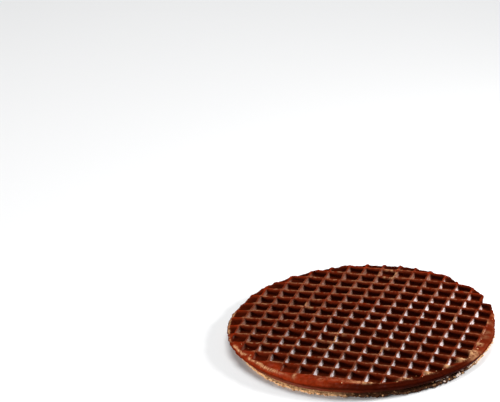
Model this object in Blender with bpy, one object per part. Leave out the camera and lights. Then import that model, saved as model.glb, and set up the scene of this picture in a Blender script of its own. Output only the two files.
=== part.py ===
"""Caramel-filled waffle biscuit (stroopwafel): two thin, gridded waffle rounds with a caramel layer.

The biscuit lies flat. The origin is at the bottom centre, +Z is up, and the ridges of both grids
run along X and Y. Lengths are in metres. The layers are worked out about the upper round's
middle, and moved onto the origin at the end.
"""
import math

import bmesh
import bpy

MM = 0.001

# --- driving dimensions -------------------------------------------------------------------------
PITCH = 6.4 * MM                # from one ridge to the next, the same along X and Y
CELLS = 17                      # cells along one side of the square sheet that a round is cut from
RIDGE_TOP = 1.2 * MM            # width of the flat crest between two pits
WALL_RUN = 0.45 * MM            # how far a pit's wall leans inwards on its way down
SEAM = 0.3 * MM                 # clearance between the layers

OUTLINE_POINTS = 88
OUTLINE_WAVES = ((3, 0.25 * MM, 0.6), (7, 0.15 * MM, 2.1))   # (waves round the edge, height, phase)

TOP_RADIUS = 49.6 * MM
TOP_CREST = 7.1 * MM            # height of the crests in the middle of the upper round
TOP_UNDERSIDE = 3.95 * MM       # height of the upper round's flat side in the middle
TOP_PIT = 0.82                  # depth of a pit, as a share of the round's thickness
TOP_GRID = (-0.45 * MM, 0.58 * MM)   # where two crest lines cross, nearest the middle

BOTTOM_CENTRE = (-0.8 * MM, 0.4 * MM)   # the lower round lies a little off the upper one
BOTTOM_RADIUS = 48.7 * MM
BOTTOM_UPPERSIDE = 2.3 * MM
BOTTOM_PIT = 0.7
BOX_CENTRE = (0.27 * MM, -0.13 * MM)    # the whole outline's middle, which goes on the origin
BOTTOM_GRID = BOX_CENTRE        # two of the lower crests cross there, so it rests on material

CARAMEL_RADIUS = 48.4 * MM
CARAMEL_CENTRE = (-0.4 * MM, 0.2 * MM)

EDGE_CHAMFER = (1.9 * MM, 0.42)   # the upper round's slope at its edge: width, share of thickness

# How far each level is lower at the edge than in the middle: the biscuit is slightly domed.
CREST_DROP = 1.45 * MM
CREST_TWIST = 0.55 * MM         # the crests droop more towards the +X -Y and -X +Y edges
SEAM_DROP = 0.85 * MM
UPPERSIDE_DROP = 0.4 * MM

# The rim is smooth outside this radius, except on the far side, where the pits are cut open.
FULL_PITS_WITHIN = 46.1 * MM
OPEN_PITS_FROM, OPEN_PITS_TO = math.radians(18), math.radians(168)

COLOURS = {
    "top_waffle": (0.22, 0.035, 0.012, 1.0),
    "caramel": (0.14, 0.028, 0.008, 1.0),
    "bottom_waffle": (0.45, 0.2, 0.08, 1.0),
}
ROUGHNESS = {"top_waffle": 0.3, "caramel": 0.2, "bottom_waffle": 0.6}


def outline_radius(radius, angle):
    """The slightly uneven radius of a round at an angle."""
    waves = sum(height * math.sin(count * angle + phase) for count, height, phase in OUTLINE_WAVES)
    return radius + waves


def crest_level(x, y):
    u, v = x / TOP_RADIUS, y / TOP_RADIUS
    return TOP_CREST - CREST_DROP * (u * u + v * v) + CREST_TWIST * u * v


def underside_level(x, y):
    return TOP_UNDERSIDE - SEAM_DROP * (x * x + y * y) / TOP_RADIUS ** 2


def upperside_level(x, y):
    return BOTTOM_UPPERSIDE - UPPERSIDE_DROP * (x * x + y * y) / TOP_RADIUS ** 2


def has_pit(x, y):
    """Tell whether the upper round has a pit whose middle is at x, y."""
    if math.hypot(x, y) < FULL_PITS_WITHIN:
        return True
    return OPEN_PITS_FROM < math.atan2(y, x) < OPEN_PITS_TO


def always(x, y):
    return True


def square_sheet(grid, pit_share, wanted):
    """A square block from z 0 to 1 whose upper side has a grid of sloping pits."""
    mesh = bmesh.new()
    bmesh.ops.create_grid(mesh, x_segments=CELLS, y_segments=CELLS, size=CELLS * PITCH / 2)
    half_cell = PITCH / 2 if CELLS % 2 else 0.0
    offset = (grid[0] + half_cell, grid[1] + half_cell, 1.0)
    bmesh.ops.translate(mesh, verts=mesh.verts, vec=offset)
    cells = mesh.faces[:]
    lower = bmesh.ops.extrude_face_region(mesh, geom=cells, use_keep_orig=True)["geom"]
    for vert in (part for part in lower if isinstance(part, bmesh.types.BMVert)):
        vert.co.z = 0.0
    cells = [face for face in mesh.faces if face.calc_center_median().z > 0.99]
    bmesh.ops.recalc_face_normals(mesh, faces=mesh.faces)
    pits = [face for face in cells if wanted(*face.calc_center_median().xy)]
    bmesh.ops.inset_individual(mesh, faces=pits, thickness=RIDGE_TOP / 2, use_even_offset=True)
    bmesh.ops.inset_individual(mesh, faces=pits, thickness=WALL_RUN, use_even_offset=True)
    for vert in {vert for face in pits for vert in face.verts}:
        vert.co.z = 1.0 - pit_share
    return mesh


def round_block(name, radius, centre, levels):
    """A turned block through the levels, each one a (height, inset from the outline) pair."""
    mesh = bmesh.new()
    rings = []
    for height, inset in levels:
        ring = bmesh.ops.create_circle(mesh, segments=OUTLINE_POINTS, radius=1.0)["verts"]
        for vert in ring:
            angle = math.atan2(vert.co.y, vert.co.x)
            reach = outline_radius(radius, angle) - inset
            vert.co = (centre[0] + reach * math.cos(angle), centre[1] + reach * math.sin(angle), height)
        rings.append([edge for edge in mesh.edges if all(vert in ring for vert in edge.verts)])
    for lower, upper in zip(rings, rings[1:]):
        bmesh.ops.bridge_loops(mesh, edges=lower + upper)
    bmesh.ops.contextual_create(mesh, geom=rings[0])
    bmesh.ops.contextual_create(mesh, geom=rings[-1])
    bmesh.ops.recalc_face_normals(mesh, faces=mesh.faces)
    return new_object(name, mesh)


def new_object(name, mesh):
    data = bpy.data.meshes.new(name)
    mesh.to_mesh(data)
    mesh.free()
    piece = bpy.data.objects.new(name, data)
    bpy.context.scene.collection.objects.link(piece)
    return piece


def paint(piece):
    material = bpy.data.materials.new(piece.name)
    material.use_nodes = True
    shader = material.node_tree.nodes["Principled BSDF"]
    shader.inputs["Base Color"].default_value = COLOURS[piece.name]
    shader.inputs["Roughness"].default_value = ROUGHNESS[piece.name]
    shader.inputs["Metallic"].default_value = 0.0
    piece.data.materials.append(material)


def cut_round(name, sheet, cutter, lower_level, upper_level):
    """Cut a sheet to the cutter's outline, then set its sides at their levels."""
    piece = new_object(name, sheet)
    cut = piece.modifiers.new("outline", "BOOLEAN")
    cut.operation = "INTERSECT"
    cut.object = cutter
    bpy.context.view_layer.update()
    evaluated = piece.evaluated_get(bpy.context.evaluated_depsgraph_get())
    flat = bpy.data.meshes.new_from_object(evaluated)
    piece.modifiers.clear()
    bpy.data.objects.remove(cutter)

    mesh = bmesh.new()
    mesh.from_mesh(flat)
    bmesh.ops.triangulate(mesh, faces=mesh.faces)
    for vert in mesh.verts:
        low = lower_level(vert.co.x, vert.co.y)
        high = upper_level(vert.co.x, vert.co.y)
        vert.co.z = low + vert.co.z * (high - low)
    bmesh.ops.translate(mesh, verts=mesh.verts, vec=(-BOX_CENTRE[0], -BOX_CENTRE[1], 0.0))
    mesh.to_mesh(piece.data)
    mesh.free()
    bpy.data.meshes.remove(flat)
    paint(piece)
    return piece


def make_top_waffle():
    sheet = square_sheet(TOP_GRID, TOP_PIT, has_pit)
    chamfer_width, chamfer_share = EDGE_CHAMFER
    levels = ((-0.5, 0.0), (1.0 - chamfer_share, 0.0), (1.0, chamfer_width), (1.5, chamfer_width))
    cutter = round_block("top_outline", TOP_RADIUS, (0.0, 0.0), levels)
    return cut_round("top_waffle", sheet, cutter, underside_level, crest_level)


def make_bottom_waffle():
    sheet = square_sheet(BOTTOM_GRID, BOTTOM_PIT, always)
    cutter = round_block("bottom_outline", BOTTOM_RADIUS, BOTTOM_CENTRE, ((-0.5, 0.0), (1.5, 0.0)))
    return cut_round("bottom_waffle", turned_over(sheet), cutter, lambda x, y: 0.0, upperside_level)


def turned_over(sheet):
    """Turn a sheet so that its pits open downwards, without moving it sideways."""
    for vert in sheet.verts:
        vert.co.z = 1.0 - vert.co.z
    bmesh.ops.reverse_faces(sheet, faces=sheet.faces)
    return sheet


def make_caramel():
    mesh = bmesh.new()
    bmesh.ops.create_grid(mesh, x_segments=CELLS, y_segments=CELLS, size=CELLS * PITCH / 2)
    lower = bmesh.ops.extrude_face_region(mesh, geom=mesh.faces[:], use_keep_orig=True)["geom"]
    bmesh.ops.translate(mesh, verts=[part for part in lower if isinstance(part, bmesh.types.BMVert)],
                        vec=(0.0, 0.0, 1.0))
    bmesh.ops.recalc_face_normals(mesh, faces=mesh.faces)
    cutter = round_block("caramel_outline", CARAMEL_RADIUS, CARAMEL_CENTRE, ((-0.5, 0.0), (1.5, 0.0)))
    return cut_round("caramel", mesh, cutter,
                     lambda x, y: upperside_level(x, y) + SEAM,
                     lambda x, y: underside_level(x, y) - SEAM)


def main():
    for old in list(bpy.data.objects):
        bpy.data.objects.remove(old)
    make_top_waffle()
    make_caramel()
    make_bottom_waffle()


main()
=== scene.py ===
"""Looks of a caramel-filled waffle biscuit: two gridded waffle rounds, the caramel between, and crumbs.

Lengths are in metres, in the frame's own axes: +Z up, the biscuit's ridges along X and Y.
"""
import math
import random
from typing import NamedTuple

import bmesh
import bpy
import numpy as np
from bpy.props import FloatProperty, FloatVectorProperty, IntProperty, PointerProperty
from mathutils import Euler, Matrix, Vector, noise


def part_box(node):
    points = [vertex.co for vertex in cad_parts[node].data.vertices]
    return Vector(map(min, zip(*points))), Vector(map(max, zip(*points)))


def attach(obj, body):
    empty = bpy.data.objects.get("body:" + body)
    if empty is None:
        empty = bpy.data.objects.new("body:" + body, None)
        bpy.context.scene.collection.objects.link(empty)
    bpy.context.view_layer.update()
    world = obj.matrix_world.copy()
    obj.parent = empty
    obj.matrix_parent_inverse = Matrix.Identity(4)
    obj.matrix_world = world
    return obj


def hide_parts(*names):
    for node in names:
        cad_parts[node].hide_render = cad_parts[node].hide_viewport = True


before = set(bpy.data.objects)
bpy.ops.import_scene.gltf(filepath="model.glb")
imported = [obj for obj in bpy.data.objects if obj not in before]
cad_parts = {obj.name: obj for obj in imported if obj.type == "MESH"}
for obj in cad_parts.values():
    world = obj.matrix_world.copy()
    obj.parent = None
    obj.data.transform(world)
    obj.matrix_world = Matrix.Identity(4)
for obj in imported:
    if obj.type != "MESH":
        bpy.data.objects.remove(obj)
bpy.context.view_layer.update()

bl_info = {
    "name": "Caramel Waffle Biscuit",
    "version": (1, 0, 0),
    "blender": (4, 5, 0),
    "location": "View3D > Sidebar > Waffle",
    "description": "Models the rounds, the filling and the crumbs of a caramel waffle biscuit",
    "category": "Add Mesh",
}

MM = 0.001
TOP_LOW, TOP_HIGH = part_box("top_waffle")
FILLING_LOW, FILLING_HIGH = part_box("caramel")
BOTTOM_LOW, BOTTOM_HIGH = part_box("bottom_waffle")


def middle_and_radius(low, high):
    """A round's middle, at z 0, and its radius."""
    middle = (low + high) / 2
    middle.z = 0.0
    return middle, (high.x - low.x) / 2


TOP_MIDDLE, TOP_RADIUS = middle_and_radius(TOP_LOW, TOP_HIGH)
FILLING_MIDDLE, FILLING_RADIUS = middle_and_radius(FILLING_LOW, FILLING_HIGH)
BOTTOM_MIDDLE, BOTTOM_RADIUS = middle_and_radius(BOTTOM_LOW, BOTTOM_HIGH)

CELLS = 17                      # cells along the square sheet that a round is cut from
ALONG_CUTS = 3                  # extra cuts along each ridge and wall, before smoothing
OUTLINE_SIDES = 120
WELD = 0.06 * MM                # vertices that the round's cuts leave closer than this are merged


# --- sizes and colours that a user would change ---------------------------------------------------

def length(name, description, default):
    return FloatProperty(name=name, description=description, default=default, unit="LENGTH",
                         precision=5)


def colour(name, description, default):
    return FloatVectorProperty(name=name, description=description, default=default, size=3,
                               subtype="COLOR", min=0.0, max=1.0)


class GridSettings(bpy.types.PropertyGroup):
    """The iron's grid, pressed into both rounds."""
    pitch: length("Pitch", "From one ridge to the next", 6.4 * MM)
    ridge: length("Ridge", "Width of a crest before it is rounded", 0.6 * MM)
    depth: length("Depth", "Depth of a pit in the middle of the upper round", 2.75 * MM)
    lower_depth: length("Lower depth", "Depth of a pit in the lower round", 1.5 * MM)
    wander: length("Wander", "How far a ridge strays from a straight line", 0.2 * MM)
    unevenness: length("Unevenness", "How much the crests differ in height", 0.24 * MM)


class BiscuitColours(bpy.types.PropertyGroup):
    """The bake's colours, with the painted shade and the painted highlight among them."""
    crust: colour("Crust", "Shiny red-brown upper face", (0.205, 0.018, 0.003))
    crust_dark: colour("Dark crust", "Darker patches of the upper face", (0.075, 0.0075, 0.002))
    # Painted shade: the next three colours darken the pits with depth, where the lamps would leave them
    # in shade.
    wall_shade: colour("Wall", "Upper part of the pits' walls", (0.105, 0.011, 0.003))
    wall_deep_shade: colour("Dark wall", "Lower part of the pits' walls", (0.04, 0.004, 0.001))
    pit_shade: colour("Pit", "Floors of the pits", (0.085, 0.011, 0.003))
    # Painted shade: this near-black darkens the front-right side of the pieces, the side that is in
    # shade.
    char: colour("Char", "Where the bake is darkest", (0.03, 0.003, 0.001))
    # Painted highlight: these two colours are a pale, near-white glint painted on the walls that face +X,
    # the warm one where it is weak.
    film: colour("Film", "Pale bloom of fat and sugar on the walls of the pits", (0.8, 0.72, 0.73))
    painted_highlight_warm: colour("Warm film", "The same bloom where it is thin", (0.56, 0.27, 0.18))
    crumb: colour("Crumb", "Pale inside of the waffle where it is cut or torn", (0.8, 0.465, 0.225))
    pale_crumb: colour("Pale crumb", "Paler crumbs low down on one side", (0.86, 0.72, 0.63))
    filling: colour("Caramel", "Dark caramel", (0.1, 0.02, 0.007))
    lower: colour("Lower crust", "Golden lower round", (0.48, 0.22, 0.085))


class BiscuitSettings(bpy.types.PropertyGroup):
    """Everything the panel shows."""
    grid: PointerProperty(type=GridSettings)
    colours: PointerProperty(type=BiscuitColours)
    crumbs: IntProperty(name="Crumbs", description="Loose pale crumbs round the edge",
                        default=230, min=0, max=600)
    seed: IntProperty(name="Seed", description="Which unevenness is used", default=4)


# --- shader maths -------------------------------------------------------------------------------

class Value:
    """A number in a shader: Python's operators on it add Math nodes."""

    def __init__(self, shader, socket):
        self.shader = shader
        self.socket = socket

    def math(self, operation, *others):
        return self.shader.add("ShaderNodeMath", {"operation": operation},
                               dict(enumerate((self, *others))))

    def __add__(self, other):
        return self.math("ADD", other)

    __radd__ = __add__

    def __sub__(self, other):
        return self.math("SUBTRACT", other)

    def __rsub__(self, other):
        return self.shader.number(other).math("SUBTRACT", self)

    def __mul__(self, other):
        return self.math("MULTIPLY", other)

    __rmul__ = __mul__

    def over(self, low, high):
        """0 below low, 1 above high, smooth between."""
        return self.shader.add("ShaderNodeMapRange", {"interpolation_type": "SMOOTHSTEP"},
                               {"Value": self, "From Min": low, "From Max": high})


class Shader:
    """A Principled material that is put together from values."""

    def __init__(self, name, roughness=0.5, **constants):
        self.material = bpy.data.materials.new(name)
        self.material.use_nodes = True
        self.tree = self.material.node_tree
        self.principled = self.tree.nodes["Principled BSDF"]
        self.principled.inputs["Roughness"].default_value = roughness
        for socket, value in constants.items():
            self.principled.inputs[socket.replace("_", " ")].default_value = value

    def add(self, kind, settings=None, inputs=None, output=0):
        """Add a node of a kind, make its settings, then fill its sockets with values or links."""
        node = self.tree.nodes.new(kind)
        for setting, value in (settings or {}).items():
            setattr(node, setting, value)
        for socket, value in (inputs or {}).items():
            self.fill(node.inputs[socket], value)
        return Value(self, node.outputs[output])

    def fill(self, socket, value):
        if isinstance(value, Value):
            self.tree.links.new(value.socket, socket)
        elif socket.type == "RGBA" and len(value) == 3:
            socket.default_value = (*value, 1.0)
        else:
            socket.default_value = value

    def number(self, value):
        node = self.tree.nodes.new("ShaderNodeValue")
        node.outputs[0].default_value = value
        return Value(self, node.outputs[0])

    def place(self):
        return self.add("ShaderNodeTexCoord", output="Object")

    def attribute(self, name):
        return self.add("ShaderNodeAttribute", {"attribute_name": name}, output="Fac")

    def noise(self, place, grain, detail=3.0, roughness=0.55):
        """Soft noise from 0 to 1 whose lumps are about one grain across."""
        return self.add("ShaderNodeTexNoise", None, {
            "Vector": place, "Scale": 1.0 / grain, "Detail": detail, "Roughness": roughness})

    def mix(self, share, first, second):
        """A colour between two."""
        return self.add("ShaderNodeMix", {"data_type": "RGBA"},
                        {0: share, 6: first, 7: second}, output=2)

    def bump(self, height, distance, strength=1.0, normal=None):
        inputs = {"Height": height, "Distance": distance, "Strength": strength}
        if normal is not None:
            inputs["Normal"] = normal
        return self.add("ShaderNodeBump", None, inputs)

    def finish(self, **sockets):
        for socket, value in sockets.items():
            self.fill(self.principled.inputs[socket.replace("_", " ")], value)
        return self.material


# --- shaping helpers ------------------------------------------------------------------------------

def smooth(value, low, high):
    """0 below low, 1 above high, smooth between; for numbers and arrays."""
    share = np.clip((value - low) / (high - low), 0.0, 1.0)
    return share * share * (3.0 - 2.0 * share)


def lumps(points, size, seed, octaves=2):
    """Noise from about -1 to 1 at each point, in lumps of a size."""
    shift = Vector((seed * 17.3, seed * 7.9, seed * 3.1))
    return np.array([noise.fractal(Vector(point) / size + shift, 0.6, 2.0, octaves)
                     for point in points])


def bell(points, spot, reach):
    """1 at a spot, falling softly to 0 one reach or so away."""
    gap = np.hypot(points[:, 0] - spot[0], points[:, 1] - spot[1])
    return np.exp(-(gap / reach) ** 2)


def places(mesh):
    points = np.empty(len(mesh.vertices) * 3)
    mesh.vertices.foreach_get("co", points)
    return points.reshape(-1, 3)


def set_places(mesh, points):
    mesh.vertices.foreach_set("co", points.astype(np.float32).ravel())
    mesh.update()


def normals(mesh):
    facing = np.empty(len(mesh.vertices) * 3, np.float32)
    mesh.vertex_normals.foreach_get("vector", facing)
    return facing.reshape(-1, 3)


def set_attribute(mesh, name, values):
    layer = mesh.attributes.new(name, "FLOAT", "POINT")
    layer.data.foreach_set("value", np.asarray(values, np.float32))


def new_piece(name, mesh, levels=0):
    """An object from a bmesh, with Subdivision Surface levels applied."""
    data = bpy.data.meshes.new(name)
    mesh.to_mesh(data)
    mesh.free()
    piece = bpy.data.objects.new(name, data)
    bpy.context.scene.collection.objects.link(piece)
    if levels:
        soften = piece.modifiers.new("soften", "SUBSURF")
        soften.levels = soften.render_levels = levels
        bpy.context.view_layer.update()
        evaluated = piece.evaluated_get(bpy.context.evaluated_depsgraph_get())
        smoothed = bpy.data.meshes.new_from_object(evaluated)
        piece.modifiers.clear()
        piece.data = smoothed
        bpy.data.meshes.remove(data)
        smoothed.name = name
    piece.data.shade_smooth()
    return piece


def hand_over(piece, node, slot, material):
    """Give a piece its finish and its place in the frame."""
    piece.data.materials.clear()
    piece.data.materials.append(material)
    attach(piece, "root")
    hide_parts(node)


# --- the waffle rounds ------------------------------------------------------------------------------

# A pit's walls from the ridge down: step inwards as a share of the pitch, share of the depth.
PIT_PROFILE = ((0.03, 0.12), (0.05, 0.78), (0.07, 1.0))
LONG_EDGE = 0.4                 # share of the pitch over which an edge is cut further
LARGEST_UNDERCUT = 4.0 * MM     # a step farther in than this is the flat side, not the groove


def pressed_sheet(grid, crossing, depth_at):
    """A square sheet at z 0 with the iron's grid in it; depth_at gives each cell's depth."""
    mesh = bmesh.new()
    pitch = grid.pitch
    bmesh.ops.create_grid(mesh, x_segments=CELLS, y_segments=CELLS, size=CELLS * pitch / 2)
    bmesh.ops.translate(mesh, verts=mesh.verts,
                        vec=(crossing[0] + pitch / 2, crossing[1] + pitch / 2, 0.0))
    cells = mesh.faces[:]
    depths = [depth_at(*cell.calc_center_median().xy) for cell in cells]
    bmesh.ops.inset_individual(mesh, faces=cells, thickness=grid.ridge / 2, use_even_offset=True)
    for step, share in PIT_PROFILE:
        bmesh.ops.inset_individual(mesh, faces=cells, thickness=step * pitch, use_even_offset=True)
        for cell, depth in zip(cells, depths):
            for vert in cell.verts:
                vert.co.z = -share * depth
    long_edges = [edge for edge in mesh.edges
                  if (edge.verts[0].co - edge.verts[1].co).xy.length > LONG_EDGE * pitch]
    bmesh.ops.subdivide_edges(mesh, edges=long_edges, cuts=ALONG_CUTS, use_grid_fill=True)
    return mesh


def trim_round(mesh, centre, radius_at):
    """Cut a sheet to a round with flat cuts that touch it; radius_at gives its radius at an angle."""
    for side in range(OUTLINE_SIDES):
        angle = 2 * math.pi * side / OUTLINE_SIDES
        outwards = Vector((math.cos(angle), math.sin(angle), 0.0))
        bmesh.ops.bisect_plane(mesh, geom=mesh.verts[:] + mesh.edges[:] + mesh.faces[:],
                               plane_co=centre + float(radius_at(angle)) * outwards, plane_no=outwards,
                               clear_outer=True, dist=1e-6)
    bmesh.ops.remove_doubles(mesh, verts=mesh.verts, dist=WELD)


def wrap_edge(mesh, centre, thickness, profile, undercut_at=lambda angle: 1.0):
    """Turn the sheet's edge down to its flat side by a profile; undercut_at scales its groove."""
    rim = [edge for edge in mesh.edges if edge.is_boundary]
    tops = {}
    for outwards, share in profile:
        made = bmesh.ops.extrude_edge_only(mesh, edges=rim)["geom"]
        rim = [part for part in made if isinstance(part, bmesh.types.BMEdge)]
        for vert in {vert for edge in rim for vert in edge.verts}:
            gap = Vector((vert.co.x - centre.x, vert.co.y - centre.y))
            angle = round(math.atan2(gap.y, gap.x), 5)
            top = tops.setdefault(angle, (gap.length, vert.co.z))
            in_groove = -LARGEST_UNDERCUT < outwards < 0.0
            step = outwards * float(undercut_at(angle)) if in_groove else outwards
            reach = gap.normalized() * (top[0] + step)
            height = top[1] + share * (-thickness - top[1])
            vert.co = (centre.x + reach.x, centre.y + reach.y, height)


def close_flat_side(piece):
    """Fan the open ring of the flat side to one vertex in its middle."""
    mesh = bmesh.new()
    mesh.from_mesh(piece.data)
    rim = [edge for edge in mesh.edges if edge.is_boundary]
    made = bmesh.ops.extrude_edge_only(mesh, edges=rim)["geom"]
    inner = [part for part in made if isinstance(part, bmesh.types.BMVert)]
    middle = sum((vert.co for vert in inner), Vector()) / len(inner)
    bmesh.ops.pointmerge(mesh, verts=inner, merge_co=middle)
    bmesh.ops.recalc_face_normals(mesh, faces=mesh.faces)
    mesh.to_mesh(piece.data)
    mesh.free()
    piece.data.shade_smooth()


def towards(angle, degrees, low, high):
    """1 near a direction in degrees, 0 away from it; low and high are cosines of the turn from it."""
    return smooth(np.cos(angle - math.radians(degrees)), low, high)


class Spots:
    """Where each vertex of a round lies, seen from above: its angle, reach and inset from the edge."""

    def __init__(self, points, centre, radius_at):
        self.flat = points * np.array((1.0, 1.0, 0.0))
        self.across = (points - np.array(centre))[:, :2]
        self.reach = np.hypot(self.across[:, 0], self.across[:, 1])
        self.out = self.across / self.reach[:, None]
        self.angle = np.arctan2(self.across[:, 1], self.across[:, 0])
        self.inset = radius_at(self.angle) - self.reach

    def towards(self, degrees, low, high):
        """1 on a side of the round, 0 on the others."""
        return towards(self.angle, degrees, low, high)

    def near_edge(self, whole, none):
        """1 up to one inset from the edge, 0 beyond another."""
        return 1.0 - smooth(self.inset, whole, none)


class Stretch(NamedTuple):
    """How the pits end along a stretch of the upper round's edge."""
    until: float        # degrees; it starts where the one before it ends
    share: float        # depth of the outermost pits, as a share of the others
    lip_from: float     # inset where the pits are shallowest
    lip_to: float       # inset where they reach their depth
    kept: float         # share of their depth that they keep at lip_from


class Notch(NamedTuple):
    """Where the edge has broken off, with angles in degrees."""
    start: float
    steep: float        # the notch has its full depth from here
    gentle: float       # to here
    end: float
    drop: float


class WAFFLE_OT_upper_round(bpy.types.Operator):
    """Model the upper waffle round, with its deep pits and its smooth rim."""
    bl_idname = "waffle.upper_round"
    bl_label = "Upper Round"

    thickness = 3.15 * MM
    crossing = (-0.45 * MM, 0.78 * MM)      # where two crests cross, nearest the middle
    pits_within = 46.1 * MM                 # pits whose middle lies farther out end as the stretches say
    faint_pits = {(-3, -7): 0.6, (-5, -6): 0.75, (-6, -5): 0.9}     # cell: share of the full depth
    stretches = (
        Stretch(135, 1.0, 0.5 * MM, 1.7 * MM, 0.3),
        Stretch(213, 0.65, 0.4 * MM, 1.9 * MM, 0.35),
        Stretch(282, 0.0, 1.5 * MM, 3.0 * MM, 0.08),
        Stretch(338, 0.8, 0.6 * MM, 4.6 * MM, 0.08),
        Stretch(380, 0.25, 0.4 * MM, 3.0 * MM, 0.3),
    )
    far_side = (20, 166)                    # degrees where the cutter ran through open pits
    # torn crests: x, y, size, how far they are worn down
    tears = ((-6.2 * MM, -15.5 * MM, 3.0 * MM, 1.0 * MM), (-2.5 * MM, 42.0 * MM, 3.5 * MM, 0.7 * MM),
             (-9.0 * MM, -22.0 * MM, 2.2 * MM, 0.6 * MM), (31.5 * MM, 10.0 * MM, 1.6 * MM, 0.8 * MM),
             (14.0 * MM, -21.0 * MM, 2.0 * MM, 0.5 * MM), (-24.0 * MM, 9.0 * MM, 2.4 * MM, 0.5 * MM))
    # pale scuffs on the rim: x, y, size, strength
    scuffs = ((46.0 * MM, -14.5 * MM, 3.2 * MM, 0.55), (45.5 * MM, 4.0 * MM, 1.3 * MM, 0.5),
              (44.3 * MM, 11.5 * MM, 1.5 * MM, 0.45), (46.5 * MM, 17.5 * MM, 1.2 * MM, 0.5),
              (-12.7 * MM, -45.0 * MM, 0.9 * MM, 0.8), (-2.7 * MM, -46.0 * MM, 0.8 * MM, 0.5))
    # the round is not quite round: middle and reach in degrees, swell
    bulges = ((181, 50, 1.7 * MM), (110, 28, 1.0 * MM))
    margin, drawn_in = 0.15 * MM, 0.75 * MM
    notches = (Notch(32, 34, 36, 43.5, 2.3 * MM),
               Notch(51, 56, 59, 66, 1.5 * MM),
               Notch(4, 15, 27, 33, 0.7 * MM))
    bevel = (205, 226, 255, 275)            # degrees between which the edge slopes outwards
    wall_pinch = 0.45 * MM                  # how far the walls along Y close on their crest
    # the edge from its top down: steps outwards, share of the way down
    profile = ((0.12 * MM, 0.1), (0.2 * MM, 0.25), (0.1 * MM, 0.45), (-0.2 * MM, 0.6),
               (-0.7 * MM, 0.7), (-1.0 * MM, 0.85), (-1.3 * MM, 1.0), (-6.0 * MM, 1.0))

    # how far a ridge sags between crossings, and how much farther one along Y does
    sag, sag_along_y = 0.15 * MM, 0.42 * MM
    # the crests' roughness: height, size of its lumps, which noise
    roughness = ((0.12 * MM, 1.6 * MM, 6), (0.07 * MM, 0.8 * MM, 16))
    # how the edge slopes: how far down, inset up to which it does so fully, inset where the slope starts
    near_slopes = ((0.5 * MM, 1.0 * MM, 6.0 * MM), (1.0 * MM, 0.1 * MM, 1.5 * MM))
    far_slope = (0.35 * MM, 0.0, 1.0 * MM)
    bevel_slope = (1.0 * MM, 0.0, 1.6 * MM)

    headroom = 0.03 * MM                    # between the middle's crests and the frame's highest point
    dome = 1.45 * MM                        # how far the crests drop from the middle to the edge
    tilt = 0.15 * MM                        # how far they drop towards +X
    twist = 0.55 * MM                       # how far two opposite quarters are raised
    upturn = 0.5 * MM                       # how far the far edge bends up
    shallower = 0.19                        # share by which the grid is shallower at the edge

    # the pale line along the edge: its inset, how much farther in it is on the bevel, its width
    arris_inset, arris_on_bevel, arris_width = 0.35 * MM, 0.75 * MM, 0.2 * MM
    # sides of the round: degrees, and the cosines of the turns at which they start and are whole
    left = (-148, 0.75, 0.93)
    left_front = (-128, 0.85, 0.97)
    near_side = (-55, -0.1, 0.45)
    # The side that gets painted shade.
    shaded_side = (-54, 0.75, 0.93)
    right_front = (-48, 0.6, 0.85)
    upturned_side = (105, 0.4, 0.9)

    def radius_at(self, angle):
        """The outline's radius at an angle: bulging at one side, drawn in at the near edge."""
        radius = TOP_RADIUS - self.margin
        for middle, reach, swell in self.bulges:
            turn = (angle - math.radians(middle) + math.pi) % (2 * math.pi) - math.pi
            radius = radius + swell * np.exp(-(turn / math.radians(reach)) ** 2)
        return radius - self.drawn_in * towards(angle, *self.near_side)

    def stretch_at(self, angle):
        """The stretch of the edge that an angle lies in."""
        first = math.radians(self.stretches[-1].until - 360)
        turn = (angle - first) % (2 * math.pi) + first
        for stretch in self.stretches:
            if turn < math.radians(stretch.until):
                return stretch
        return self.stretches[-1]

    def bevelled(self, angle):
        """1 where the edge slopes outwards and has no groove below, 0 elsewhere."""
        turn = angle % (2 * math.pi)
        start, whole, still, end = [math.radians(degrees) for degrees in self.bevel]
        return smooth(turn, start, whole) * (1.0 - smooth(turn, still, end))

    def execute(self, context):
        settings = context.scene.waffle
        grid = settings.grid
        chance = random.Random(settings.seed)

        def depth_at(x, y):
            cell = (math.floor((x - self.crossing[0]) / grid.pitch),
                    math.floor((y - self.crossing[1]) / grid.pitch))
            share = self.faint_pits.get(cell, 1.0)
            if math.hypot(x - TOP_MIDDLE.x, y - TOP_MIDDLE.y) > self.pits_within:
                share = self.stretch_at(math.atan2(y - TOP_MIDDLE.y, x - TOP_MIDDLE.x)).share
            return grid.depth * share * chance.uniform(0.94, 1.03)

        mesh = pressed_sheet(grid, self.crossing, depth_at)
        trim_round(mesh, TOP_MIDDLE, self.radius_at)
        self.raise_lip(mesh)
        wrap_edge(mesh, TOP_MIDDLE, self.thickness, self.profile,
                  undercut_at=lambda angle: 1 - 0.8 * self.bevelled(angle))
        piece = new_piece("upper_round", mesh, levels=1)
        close_flat_side(piece)

        points = places(piece.data)
        spots = Spots(points, TOP_MIDDLE, self.radius_at)
        depth = np.clip(-points[:, 2] / grid.depth, 0.0, 1.0)
        along = np.pi * (spots.flat[:, :2] - np.array(self.crossing)) / grid.pitch
        self.make_uneven(points, spots, depth, along, grid, settings.seed)
        torn = self.slope_and_tear(points, spots)
        self.raise_dome(points, spots)
        self.break_edge(points, spots, settings.seed)
        set_places(piece.data, points)
        self.mark_rim(piece.data, spots, depth, along, settings.seed)
        self.mark_pits(piece.data, spots, depth, along, torn, settings.seed)
        hand_over(piece, "top_waffle", "top_waffle", crust_material(settings.colours))
        return {"FINISHED"}

    def raise_lip(self, mesh):
        """Close the pits off towards the edge, where dough was squeezed up round the cutter."""
        for vert in mesh.verts:
            gap = vert.co - TOP_MIDDLE
            angle = math.atan2(gap.y, gap.x)
            inset = float(self.radius_at(angle)) - gap.xy.length
            stretch = self.stretch_at(angle)
            rise = float(smooth(inset, stretch.lip_from, stretch.lip_to))
            vert.co.z *= stretch.kept + (1.0 - stretch.kept) * rise

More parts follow.
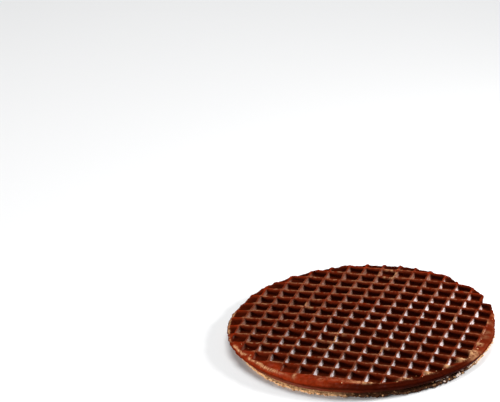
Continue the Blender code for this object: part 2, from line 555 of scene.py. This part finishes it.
    def make_uneven(self, points, spots, depth, along, grid, seed):
        """Let the ridges wander and sag, and roughen the dough."""
        inside = smooth(spots.inset, 0.4 * MM, 1.8 * MM)
        points[:, 0] -= self.wall_pinch * np.sin(2.0 * along[:, 0]) * inside
        for axis, stray in ((0, seed + 1), (1, seed + 2)):
            points[:, axis] += grid.wander * lumps(spots.flat, 7.0 * MM, stray)
            points[:, axis] += 0.5 * grid.wander * lumps(points, 1.9 * MM, stray + 20)
        height = points[:, 2]
        sag = self.sag * np.sin(along[:, 0]) ** 2 + self.sag_along_y * on_ridge_along_y(along)
        height -= (1.0 - depth) * inside * sag * (1.0 + 0.6 * lumps(spots.flat, 6.0 * MM, seed + 9))
        height += (1.0 - depth) * grid.unevenness * lumps(spots.flat, 4.0 * MM, seed + 3)
        for rise, size, stray in self.roughness:
            height += (1.0 - depth) * rise * lumps(points, size, seed + stray)
        height += 0.03 * MM * lumps(points, 1.1 * MM, seed + 4, octaves=3)

    def far(self, spots):
        """1 along the far side, 0 elsewhere."""
        start, end = [math.radians(degrees) for degrees in self.far_side]
        return smooth(spots.angle, start - 0.1, start) * (1.0 - smooth(spots.angle, end, end + 0.1))

    def slope_and_tear(self, points, spots):
        """Slope the edge down and wear a few crests away; gives how torn each vertex is."""
        height = points[:, 2]
        above = 1.0 + np.clip(height / self.thickness, -1.0, 0.0)
        far = self.far(spots)
        near = 1.0 - far
        for drop, whole, none in self.near_slopes:
            height -= drop * spots.near_edge(whole, none) * near * above
        drop, whole, none = self.far_slope
        height -= drop * spots.near_edge(whole, none) * far * above ** 2
        drop, whole, none = self.bevel_slope
        height -= drop * spots.near_edge(whole, none) * self.bevelled(spots.angle) * above
        torn = np.zeros(len(points))
        for x, y, size, drop in self.tears:
            spot = bell(spots.flat, (x, y), size)
            height -= drop * spot * above ** 2
            torn += spot
        return torn

    def raise_dome(self, points, spots):
        """Lift the flat round to its crests' heights."""
        u, v = (spots.across / TOP_RADIUS).T
        crest = TOP_HIGH.z - self.headroom - self.dome * (u * u + v * v)
        crest += self.twist * u * v - self.tilt * u
        bent = spots.towards(*self.upturned_side) * self.far(spots)
        crest += self.upturn * bent * smooth(spots.reach, 0.7 * TOP_RADIUS, TOP_RADIUS)
        points[:, 2] = crest + points[:, 2] * (1.0 - self.shallower * (spots.reach / TOP_RADIUS) ** 2)

    def break_edge(self, points, spots, seed):
        """Make the edge ragged and break its notches out."""
        wobble = 0.28 * lumps(points, 2.2 * MM, seed + 7) + 0.14 * lumps(points, 0.8 * MM, seed + 8)
        broken = np.zeros(len(points))
        for notch in self.notches:
            start, steep, gentle, end = [math.radians(degrees) for degrees in notch[:4]]
            within = smooth(spots.angle, start, steep) * (1.0 - smooth(spots.angle, gentle, end))
            broken += notch.drop * within
        push = MM * spots.near_edge(0.8 * MM, 3.0 * MM) * wobble - broken * spots.near_edge(0.0, 4.5 * MM)
        points[:, :2] += spots.out * push[:, None]

    def mark_rim(self, data, spots, depth, along, seed):
        """Note where the rim is red and shiny, pale at its arris, crumbly, or darkened on the front-right
        side by painted shade.
        """
        u = spots.across[:, 0] / TOP_RADIUS
        near = 1.0 - self.far(spots)
        gap = spots.inset - self.arris_inset - self.arris_on_bevel * self.bevelled(spots.angle)
        gap += 0.15 * MM * lumps(spots.flat, 4.5 * MM, seed + 5)
        arris = np.exp(-(gap / self.arris_width) ** 2) * near
        set_attribute(data, "arris", arris * (0.05 + 0.95 * spots.towards(*self.left)))

        tips = smooth(spots.inset, 0.9 * MM, 1.5 * MM) * spots.near_edge(2.6 * MM, 4.2 * MM)
        crumbly = np.cos(along[:, 1]) ** 6 * tips * spots.towards(*self.right_front)
        for x, y, size, strength in self.scuffs:
            crumbly += strength * bell(spots.flat, (x, y), size) * (1.0 - smooth(depth, 0.1, 0.3))
        set_attribute(data, "rim", crumbly)

        band = spots.near_edge(3.0 * MM, 5.5 * MM) * (1.0 - smooth(depth, 0.0, 0.06))
        set_attribute(data, "band", band * (1.0 - smooth(u, 0.4, 0.8)))
        set_attribute(data, "bake", 0.4 + 0.6 * band * (1.0 - 1.3 * smooth(u, 0.5, 0.9)))
        # Painted shade on the front-right edge and side.
        shaded = spots.towards(*self.shaded_side) * spots.near_edge(1.3 * MM, 2.3 * MM)
        set_attribute(data, "char", shaded * near)

    def mark_pits(self, data, spots, depth, along, torn, seed):
        """Note how deep in a pit each vertex is, which sets the pits' painted shade, where its walls
        carry a painted highlight, and where its crests carry a painted highlight or are torn.
        """
        u, v = (spots.across / TOP_RADIUS).T
        inwards = smooth(spots.inset, 3.0 * MM, 5.0 * MM)
        along_y = on_ridge_along_y(along)
        left_front = spots.towards(*self.left_front)
        right_front = spots.towards(*self.right_front)
        # The depth attribute sets how much painted shade a vertex gets: less near the edge at the left
        # front and right front, and the crests along Y get some of it too, more towards +X.
        shown = depth * (1.0 - 0.75 * right_front * spots.near_edge(1.6 * MM, 4.6 * MM))
        shown *= 1.0 - 0.6 * left_front * spots.near_edge(5.0 * MM, 9.0 * MM)
        crest_shade = 0.3 * along_y * (0.4 + 0.6 * smooth(u, -0.7, 0.1)) * inwards
        set_attribute(data, "depth", np.maximum(shown, crest_shade))

        # Painted highlight on the walls that face +X: stronger towards +X and -Y, left out near the edge,
        # faint at the left front and at the very top and bottom of the walls.
        film = smooth(normals(data)[:, 0], 0.3, 0.7) * (0.42 + 0.58 * smooth(u - 0.9 * v, -0.9, 0.3))
        film *= np.clip(0.98 + 0.45 * lumps(spots.flat, 5.0 * MM, seed + 10), 0.35, 1.15)
        film *= smooth(spots.inset, 1.5 * MM, 3.0 * MM)
        film *= 1.0 - 0.8 * left_front * spots.near_edge(5.0 * MM, 8.5 * MM)
        film *= smooth(depth, 0.08, 0.3) * (1.0 - 0.85 * smooth(depth, 0.9, 1.0))
        set_attribute(data, "film", film)

        # Painted highlight along the crests, mostly those along X and more towards -X, plus the real wear
        # where crests are torn.
        worn = (1.0 - smooth(depth, 0.02, 0.12)) * (0.32 - 0.16 * u) * inwards
        worn *= np.max(nearness_to_ridges(along), axis=1) ** 3 * (1.0 - 0.75 * along_y)
        worn += np.clip(torn, 0.0, 1.0) * (1.0 - smooth(depth, 0.1, 0.4))
        set_attribute(data, "worn", worn)


def nearness_to_ridges(along):
    """1 on a ridge's middle, 0 beside it: one column for the ridges along Y, one for those along X."""
    return np.cos(along) ** 16


def on_ridge_along_y(along):
    """1 on a ridge along Y, away from the crossings."""
    nearness = nearness_to_ridges(along)
    return nearness[:, 0] * (1.0 - nearness[:, 1])


def crust_material(colours):
    """The upper round: red-brown, duller and darker down in the pits by painted shade, with a pale,
    glossy painted highlight on the walls that face +X.
    """
    shader = Shader("crust", IOR=1.4, Specular_IOR_Level=0.0, Coat_Roughness=0.36, Coat_IOR=1.5)
    place = shader.place()
    depth = shader.attribute("depth")
    band = shader.attribute("band")
    patches = shader.noise(place, 7.0 * MM, detail=4.0).over(0.35, 0.65)
    blotches = shader.noise(place, 1.8 * MM, detail=3.0)
    grain = shader.noise(place, 0.5 * MM, detail=4.0, roughness=0.65)
    streaks = shader.noise(place, 0.7 * MM, detail=4.0, roughness=0.7).over(0.3, 0.7)

    baked = shader.attribute("bake") * (0.5 + 0.5 * patches) * (0.2 + 1.6 * blotches)
    face = shader.mix(baked.math("MINIMUM", 1.0), colours.crust_dark, colours.crust)
    # Painted shade: darker down the pits' walls, a little less dark on their floors.
    face = shader.mix(depth.over(0.03, 0.14), face, colours.wall_shade)
    face = shader.mix((depth + 0.25 * blotches).over(0.25, 0.62), face, colours.wall_deep_shade)
    face = shader.mix(depth.over(0.8, 1.0), face, colours.pit_shade)
    # The crests' painted highlight and their torn places are mixed towards the crumb colour.
    worn = shader.attribute("worn") * shader.noise(place, 1.4 * MM).over(0.35, 0.65)
    face = shader.mix(worn * 0.6, face, colours.crumb)

    # Painted highlight: the walls facing +X turn pale, near-white where it is strong and warm where it is
    # weak.
    film = (shader.attribute("film") * (0.45 + 0.8 * streaks)).math("MINIMUM", 1.0)
    face = shader.mix(film, face, shader.mix(film.over(0.4, 0.8), colours.painted_highlight_warm, colours.film))

    broken = shader.noise(place, 3.5 * MM, detail=2.0).over(0.33, 0.52)
    pale = shader.attribute("arris") * broken * (0.5 + 0.6 * streaks)
    pale = pale + shader.attribute("rim") * blotches.over(0.33, 0.52) * (0.4 + 0.6 * streaks)
    face = shader.mix(pale.math("MINIMUM", 1.0) * 0.85, face, colours.crumb)
    # Painted shade on the front-right side.
    face = shader.mix(shader.attribute("char") * 0.92, face, colours.char)

    # The painted highlight's mask also weights the glossy coat.
    shine = film * 0.6 + band * blotches.over(0.45, 0.7) * 0.12
    bump = shader.bump(grain, 0.14 * MM, 0.7)
    bump = shader.bump(blotches, 0.5 * MM, 0.6, bump)
    return shader.finish(Base_Color=face, Roughness=0.5 + 0.2 * grain, Coat_Weight=shine, Normal=bump)


class WAFFLE_OT_lower_round(bpy.types.Operator):
    """Model the lower waffle round, with its grid underneath and its pale, crumbly edge."""
    bl_idname = "waffle.lower_round"
    bl_label = "Lower Round"

    crossing = (0.0, 0.0)
    # the edge from its grid up: steps outwards, share of the way up
    profile = ((0.1 * MM, 0.12), (0.25 * MM, 0.45), (0.1 * MM, 0.85), (-0.3 * MM, 1.0),
               (-5.0 * MM, 1.0))
    # where the outline is drawn in or, below 0, stands out: middle and reach in degrees, how far
    hollows = ((218, 24, 1.5 * MM), (350, 14, 0.6 * MM), (314, 20, -0.9 * MM))
    margin = 0.3 * MM
    shallower = 0.17        # share by which the round is lower at its edge
    knobbly_side = (-56, 0.5, 0.9)
    # The side that gets painted shade.
    shaded_side = (-50, 0.78, 0.9)

    def radius_at(self, angle):
        """The outline's radius at an angle."""
        radius = BOTTOM_RADIUS - self.margin
        for middle, reach, drop in self.hollows:
            turn = angle % (2 * math.pi) - math.radians(middle)
            radius = radius - drop * np.exp(-(turn / math.radians(reach)) ** 2)
        return radius

    def execute(self, context):
        settings = context.scene.waffle
        grid = settings.grid
        chance = random.Random(settings.seed + 50)

        def depth_at(x, y):
            return grid.lower_depth * chance.uniform(0.92, 1.03)

        mesh = pressed_sheet(grid, self.crossing, depth_at)
        trim_round(mesh, BOTTOM_MIDDLE, self.radius_at)
        wrap_edge(mesh, BOTTOM_MIDDLE, BOTTOM_HIGH.z - 0.1 * MM, self.profile)
        bmesh.ops.scale(mesh, verts=mesh.verts, vec=(1.0, 1.0, -1.0))
        piece = new_piece("lower_round", mesh, levels=1)
        close_flat_side(piece)
        self.shape(piece.data, grid, settings.seed)
        hand_over(piece, "bottom_waffle", "bottom_waffle", lower_material(settings.colours))
        return {"FINISHED"}

    def shape(self, data, grid, seed):
        """Close the pits off at the edge, roughen it, make it lower towards its edge and note its finish.
        """
        points = places(data)
        spots = Spots(points, BOTTOM_MIDDLE, self.radius_at)
        depth = np.clip(points[:, 2] / grid.lower_depth, 0.0, 1.0)
        edge = spots.near_edge(0.3 * MM, 2.5 * MM)
        points[:, 0] += grid.wander * lumps(spots.flat, 7.0 * MM, seed + 11)
        points[:, 1] += grid.wander * lumps(spots.flat, 7.0 * MM, seed + 12)
        points[:, 2] -= 0.75 * depth * grid.lower_depth * spots.near_edge(0.8 * MM, 3.5 * MM)
        rough = lumps(points, 1.7 * MM, seed + 13) + 0.7 * lumps(points, 0.7 * MM, seed + 15)
        low = 1.0 - smooth(points[:, 2], 0.2 * MM, 1.2 * MM)
        knobbly = 1.0 + 0.6 * spots.towards(*self.knobbly_side)
        points[:, :2] += spots.out * (edge * (0.3 + 0.3 * low) * MM * rough * knobbly)[:, None]
        radius = self.radius_at(spots.angle)
        points[:, 2] *= 1.0 - self.shallower * (spots.reach / radius) ** 2
        points[:, 2] += 0.05 * MM * (1.0 + lumps(points, 2.0 * MM, seed + 14))
        set_places(data, points)

        height = points[:, 2]
        # Caramel stain near the top of the edge; along its foot, where it meets the floor, a darker band
        # that is painted shade.
        stain = smooth(height, 1.35 * MM, 1.9 * MM) + 0.35 * (1.0 - smooth(height, 0.15 * MM, 0.5 * MM))
        set_attribute(data, "rim", edge)
        set_attribute(data, "stain", edge * stain)
        # Painted shade on the front-right side of the edge.
        set_attribute(data, "char", spots.near_edge(2.5 * MM, 5.0 * MM) * spots.towards(*self.shaded_side))
        # Painted shade: the depth attribute darkens the pits underneath, except near the edge.
        set_attribute(data, "depth", depth * (1.0 - spots.near_edge(1.5 * MM, 3.5 * MM)))


def lower_material(colours):
    """The lower round: golden to red-brown, with a pale crumbly edge; painted shade makes it darker in
    its pits, on one side and along the foot of its edge.
    """
    shader = Shader("lower_crust", IOR=1.4, Specular_IOR_Level=0.08)
    place = shader.place()
    rim = shader.attribute("rim")
    grain = shader.noise(place, 0.6 * MM, detail=4.0, roughness=0.7)
    patches = shader.noise(place, 3.0 * MM, detail=3.0).over(0.35, 0.7)
    baked = patches * (0.5 + 0.5 * rim) + 0.45 * (1.0 - rim)
    face = shader.mix(baked, colours.lower, colours.crust)
    # Painted shade: darker in the pits.
    face = shader.mix(shader.attribute("depth").over(0.15, 0.9) * 0.7, face, colours.pit_shade)
    pale = rim * shader.noise(place, 1.1 * MM, detail=3.0).over(0.28, 0.5)
    face = shader.mix(pale, face, colours.crumb)
    # The caramel stain, and the painted shade along the foot of the edge.
    face = shader.mix(shader.attribute("stain") * 0.85, face, colours.filling)
    # Painted shade, in specks, on the front-right side.
    specks = shader.noise(place, 1.2 * MM, detail=3.0).over(0.72, 0.58)
    face = shader.mix(shader.attribute("char") * specks * 0.93, face, colours.char)
    flecks = shader.noise(place, 0.8 * MM, detail=2.0).over(0.56, 0.7)
    face = shader.mix(rim * flecks * 0.7, face, colours.crust_dark)
    bump = shader.bump(grain, 0.25 * MM, 0.8)
    return shader.finish(Base_Color=face, Roughness=0.5 + 0.2 * grain, Normal=bump)


# --- the caramel --------------------------------------------------------------------------------------

class WAFFLE_OT_caramel(bpy.types.Operator):
    """Model the caramel layer, which swells out a little between the rounds."""
    bl_idname = "waffle.caramel"
    bl_label = "Caramel"

    sides = 720
    low, high = 1.85 * MM, 3.2 * MM
    # The side that gets painted shade.
    shaded_side = (-42, 0.7, 0.92)
    # rings from the underside up: steps outwards, share of the way up
    profile = ((-6.0 * MM, 0.0), (-0.6 * MM, 0.0), (-0.1 * MM, 0.12), (0.15 * MM, 0.3), (0.1 * MM, 0.45),
               (0.0, 0.55), (0.12 * MM, 0.7), (-0.1 * MM, 0.85), (-0.7 * MM, 1.0), (-6.0 * MM, 1.0))

    def execute(self, context):
        settings = context.scene.waffle
        mesh = bmesh.new()
        rings = []
        for outwards, share in self.profile:
            radius = FILLING_RADIUS + outwards
            ring = bmesh.ops.create_circle(mesh, segments=self.sides, radius=radius)["verts"]
            height = self.low + share * (self.high - self.low)
            bmesh.ops.translate(mesh, verts=ring, vec=(FILLING_MIDDLE.x, FILLING_MIDDLE.y, height))
            rings.append(list({edge for vert in ring for edge in vert.link_edges}))
        for lower, upper in zip(rings, rings[1:]):
            bmesh.ops.bridge_loops(mesh, edges=lower + upper)
        bmesh.ops.contextual_create(mesh, geom=rings[0])
        bmesh.ops.contextual_create(mesh, geom=rings[-1])
        bmesh.ops.recalc_face_normals(mesh, faces=mesh.faces)
        piece = new_piece("caramel_layer", mesh)

        points = places(piece.data)
        spots = Spots(points, FILLING_MIDDLE, lambda angle: FILLING_RADIUS)
        edge = spots.near_edge(0.5 * MM, 2.0 * MM)
        swell = lumps(points * np.array((1.0, 1.0, 2.5)), 6.0 * MM, settings.seed + 21)
        folds = lumps(points * np.array((1.0, 1.0, 7.0)), 4.0 * MM, settings.seed + 22)
        points[:, :2] += spots.out * (edge * (0.3 * MM * swell + 0.18 * MM * folds))[:, None]
        set_places(piece.data, points)
        # Painted shade on the front-right side of the edge.
        set_attribute(piece.data, "char", edge * spots.towards(*self.shaded_side))
        hand_over(piece, "caramel", "caramel", caramel_material(settings.colours))
        return {"FINISHED"}


def caramel_material(colours):
    """Dark, sticky caramel, darker on its front-right side by painted shade."""
    shader = Shader("caramel", IOR=1.45, Specular_IOR_Level=0.06)
    place = shader.place()
    stretched = shader.add("ShaderNodeMapping", None, {"Vector": place, "Scale": (1.0, 1.0, 5.0)})
    streaks = shader.noise(stretched, 3.0 * MM, detail=3.0)
    face = shader.mix(streaks.over(0.3, 0.7) * 0.4, colours.filling, colours.crust)
    # Painted shade on the front-right side.
    face = shader.mix(shader.attribute("char") * 0.85, face, colours.char)
    bump = shader.bump(streaks, 0.4 * MM, 0.5)
    return shader.finish(Base_Color=face, Roughness=0.25 + 0.2 * streaks, Normal=bump)


# --- crumbs --------------------------------------------------------------------------------------------

class CrumbGroup(NamedTuple):
    """Crumbs of one kind."""
    name: str
    ground: str         # the piece that they lie on
    node: str
    tint: str           # which of the colours they have
    browned: float      # how far the browner ones turn to the lower crust's colour
    arcs: tuple         # (from, to) in degrees and their share of all crumbs
    heights: tuple      # between which they are aimed at the ground
    steepness: float    # rise of the aim for each step outwards
    sizes: tuple        # least and greatest radius


def add_crumb(mesh, place, size, chance):
    """Add one knobbly crumb to a mesh."""
    made = bmesh.ops.create_icosphere(mesh, subdivisions=1, radius=size)["verts"]
    stretch = [chance.uniform(0.6, 1.35) for axis in range(3)]
    turn = Euler([chance.uniform(0, math.tau) for axis in range(3)]).to_matrix().to_4x4()
    for vert in made:
        vert.co *= chance.uniform(0.72, 1.25)
    bmesh.ops.scale(mesh, verts=made, vec=stretch)
    bmesh.ops.transform(mesh, verts=made, matrix=Matrix.Translation(place) @ turn)


class WAFFLE_OT_crumbs(bpy.types.Operator):
    """Scatter crumbs where the rounds were cut: each sits a little sunk in what it touches."""
    bl_idname = "waffle.crumbs"
    bl_label = "Crumbs"

    groups = (
        CrumbGroup("lower_crumbs", "lower_round", "bottom_waffle", tint="crumb", browned=0.7,
                   arcs=((-150, -90, 0.4), (-85, -42, 0.04), (-42, -10, 0.15), (-10, 190, 0.5)),
                   heights=(0.4 * MM, 1.8 * MM), steepness=0.05, sizes=(0.2 * MM, 0.42 * MM)),
        CrumbGroup("pale_crumbs", "lower_round", "bottom_waffle", tint="pale_crumb", browned=0.2,
                   arcs=((-40, -12, 0.22),),
                   heights=(0.5 * MM, 1.6 * MM), steepness=0.1, sizes=(0.35 * MM, 0.62 * MM)),
        CrumbGroup("upper_crumbs", "upper_round", "top_waffle", tint="crumb", browned=0.95,
                   arcs=((-60, -14, 0.07), (-150, -76, 0.02), (-14, 25, 0.03)),
                   heights=(4.3 * MM, 5.4 * MM), steepness=0.75, sizes=(0.16 * MM, 0.34 * MM)),
    )
    aimed_within = (45.5 * MM, 47.5 * MM)   # from the middle
    aim_distance = 30.0 * MM
    lowest = 0.25 * MM                      # a crumb that would sit lower is left out
    sunk = 0.05 * MM
    clear_of_floor = 0.02 * MM

    def execute(self, context):
        settings = context.scene.waffle
        chance = random.Random(settings.seed + 90)
        context.view_layer.update()
        for group in self.groups:
            mesh = bmesh.new()
            for start, end, share in group.arcs:
                for crumb in range(round(settings.crumbs * share)):
                    self.drop_crumb(mesh, group, chance.uniform(start, end), chance)
            piece = new_piece(group.name, mesh)
            points = places(piece.data)
            points[:, 2] = np.maximum(points[:, 2], self.clear_of_floor)
            set_places(piece.data, points)
            hand_over(piece, group.node, group.node, crumb_material(settings.colours, group))
        return {"FINISHED"}

    def drop_crumb(self, mesh, group, degrees, chance):
        """Aim at the ground from outside, and leave a crumb where it is met."""
        angle = math.radians(degrees)
        outwards = Vector((math.cos(angle), math.sin(angle), 0.0))
        aim = Vector((TOP_MIDDLE.x, TOP_MIDDLE.y, chance.uniform(*group.heights)))
        aim += chance.uniform(*self.aimed_within) * outwards
        away = (outwards + Vector((0.0, 0.0, group.steepness))).normalized()
        ground = bpy.data.objects[group.ground]
        found, spot, normal, face = ground.ray_cast(aim + self.aim_distance * away, -away)
        if found and spot.z > self.lowest:
            add_crumb(mesh, spot - self.sunk * normal, chance.uniform(*group.sizes), chance)


def crumb_material(colours, group):
    """Dry, pale crumbs, some of them browner."""
    shader = Shader(group.name, IOR=1.4, Specular_IOR_Level=0.1)
    place = shader.place()
    tone = shader.noise(place, 2.5 * MM, detail=2.0).over(0.35, 0.65)
    grain = shader.noise(place, 0.25 * MM, detail=3.0)
    face = shader.mix(tone * group.browned, getattr(colours, group.tint), colours.lower)
    return shader.finish(Base_Color=face, Roughness=0.65 + 0.2 * grain,
                         Normal=shader.bump(grain, 0.1 * MM, 0.8))


# --- the stage -----------------------------------------------------------------------------------------

def add_lamp(name, place, target, size, power):
    """Add a soft rectangular lamp that points at a target."""
    light = bpy.data.lights.new(name, "AREA")
    light.shape = "RECTANGLE"
    light.size, light.size_y = size
    light.energy = power
    lamp = bpy.data.objects.new(name, light)
    lamp.location = place
    lamp.rotation_euler = (Vector(target) - Vector(place)).to_track_quat("-Z", "Y").to_euler()
    bpy.context.scene.collection.objects.link(lamp)


class WAFFLE_OT_stage(bpy.types.Operator):
    """Set up the floor, the lamps and the camera."""
    bl_idname = "waffle.stage"
    bl_label = "Stage"

    floor_half = 3.0
    # name, place, target, size, power
    lamps = (
        ("key_right", (0.18, 0.085, 0.12), (0.0, 0.0, 0.004), (0.09, 0.05), 0.62),
        ("low_left", (-0.42, -0.5, 0.12), (0.0, 0.0, 0.002), (0.3, 0.1), 4.4),
        ("top_soft", (-0.1, 0.25, 0.75), (0.0, 0.0, 0.0), (0.6, 0.6), 5.5),
    )
    sky, sky_strength = (0.9, 0.95, 1.0, 1.0), 0.12
    camera_place = (0.32886, -1.03526, 0.55241)
    camera_turn = (65.485, 2.863, 18.425)       # degrees
    camera_lens = 235.3

    def execute(self, context):
        scene = context.scene
        self.lay_floor()
        for lamp in self.lamps:
            add_lamp(*lamp)
        world = bpy.data.worlds.new("studio")
        world.use_nodes = True
        background = world.node_tree.nodes["Background"]
        background.inputs["Color"].default_value = self.sky
        background.inputs["Strength"].default_value = self.sky_strength
        scene.world = world
        scene.view_settings.view_transform = "Standard"

        camera = bpy.data.cameras.new("camera")
        camera.lens = self.camera_lens
        camera.sensor_fit = "HORIZONTAL"
        camera.clip_start, camera.clip_end = 0.01, 20.0
        eye = bpy.data.objects.new("camera", camera)
        eye.location = self.camera_place
        eye.rotation_euler = [math.radians(turn) for turn in self.camera_turn]
        scene.collection.objects.link(eye)
        scene.camera = eye
        return {"FINISHED"}

    def lay_floor(self):
        """Lay plain pale paper under everything."""
        mesh = bmesh.new()
        bmesh.ops.create_grid(mesh, x_segments=4, y_segments=4, size=self.floor_half)
        floor = new_piece("floor", mesh)
        paper = Shader("paper", roughness=0.9)
        wash = paper.noise(paper.place(), 0.4, detail=2.0)
        shade = paper.mix(wash, (0.83, 0.83, 0.83), (0.86, 0.86, 0.86))
        floor.data.materials.append(paper.finish(Base_Color=shade))


# --- the panel and the run ---------------------------------------------------------------------------

class WAFFLE_PT_panel(bpy.types.Panel):
    """Lists the biscuit's sizes, colours and pieces."""
    bl_idname = "WAFFLE_PT_panel"
    bl_label = "Caramel Waffle"
    bl_space_type = "VIEW_3D"
    bl_region_type = "UI"
    bl_category = "Waffle"

    def draw(self, context):
        settings = context.scene.waffle
        for group in (settings.grid, settings.colours):
            box = self.layout.box()
            for name in group.__annotations__:
                box.prop(group, name)
        self.layout.prop(settings, "crumbs")
        self.layout.prop(settings, "seed")
        for operator in OPERATORS:
            self.layout.operator(operator.bl_idname)


OPERATORS = (WAFFLE_OT_stage, WAFFLE_OT_upper_round, WAFFLE_OT_caramel, WAFFLE_OT_lower_round,
             WAFFLE_OT_crumbs)
CLASSES = (GridSettings, BiscuitColours, BiscuitSettings, *OPERATORS, WAFFLE_PT_panel)


def register():
    for item in CLASSES:
        bpy.utils.register_class(item)
    bpy.types.Scene.waffle = PointerProperty(type=BiscuitSettings)


def unregister():
    del bpy.types.Scene.waffle
    for item in reversed(CLASSES):
        bpy.utils.unregister_class(item)


def main():
    register()
    for operator in OPERATORS:
        group, name = operator.bl_idname.split(".")
        getattr(getattr(bpy.ops, group), name)()


if __name__ == "__main__":
    main()
